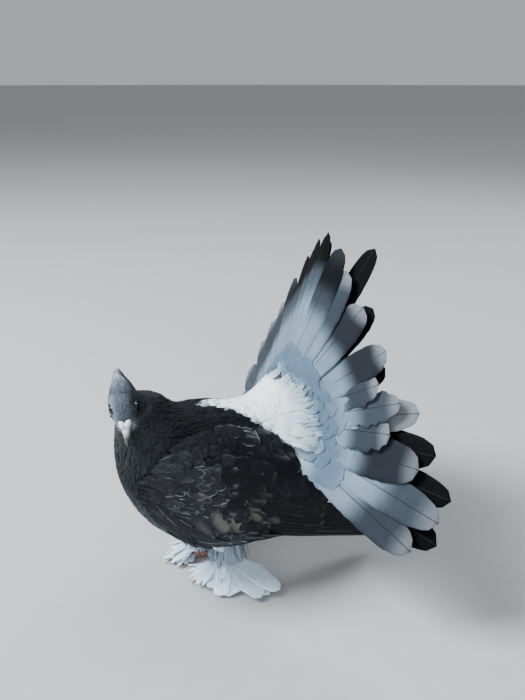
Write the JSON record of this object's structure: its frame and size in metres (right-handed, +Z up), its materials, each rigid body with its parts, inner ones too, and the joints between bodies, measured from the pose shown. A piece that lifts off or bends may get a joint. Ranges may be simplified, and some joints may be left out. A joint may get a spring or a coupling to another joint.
{
  "type": "fantail pigeon figure",
  "caption": "Life-size still figure of a fantail pigeon standing with its head turned and its tail fanned upright.",
  "frame": {"origin": "bottom centre of the box round the whole bird, on the floor it stands on", "axes": "-Y is the way the breast faces, +X is the bird's left, +Z is up"},
  "size_m": [0.2812, 0.1974, 0.2444],
  "materials": {
    "slate_plumage": "matte feathers",
    "blue_grey_plumage": "matte feathers",
    "ash_blue_plumage": "matte feathers",
    "chalky_cere": "powdery",
    "pale_bill": "satin horn",
    "dark_eye": "wet",
    "pink_foot_skin": "scaly skin",
    "grey_claw": "satin horn"
  },
  "bodies": {
    "root": {"bill_lower": "pale_bill", "bill_upper": "pale_bill", "cere": "chalky_cere", "claw_left_hind": "grey_claw", "claw_left_inner": "grey_claw", "claw_left_middle": "grey_claw", "claw_left_outer": "grey_claw", "claw_right_hind": "grey_claw", "claw_right_inner": "grey_claw", "claw_right_middle": "grey_claw", "claw_right_outer": "grey_claw", "crest": "ash_blue_plumage", "eye_left": "dark_eye", "eye_right": "dark_eye", "foot_left": "pink_foot_skin", "foot_right": "pink_foot_skin", "head": "ash_blue_plumage", "leg_left": "slate_plumage", "leg_right": "slate_plumage", "neck": "slate_plumage", "rump": "blue_grey_plumage", "tail_left": "blue_grey_plumage", "tail_middle": "blue_grey_plumage", "tail_right": "blue_grey_plumage", "torso": "slate_plumage", "wing_left": "slate_plumage", "wing_right": "slate_plumage"}
  },
  "joints": []
}
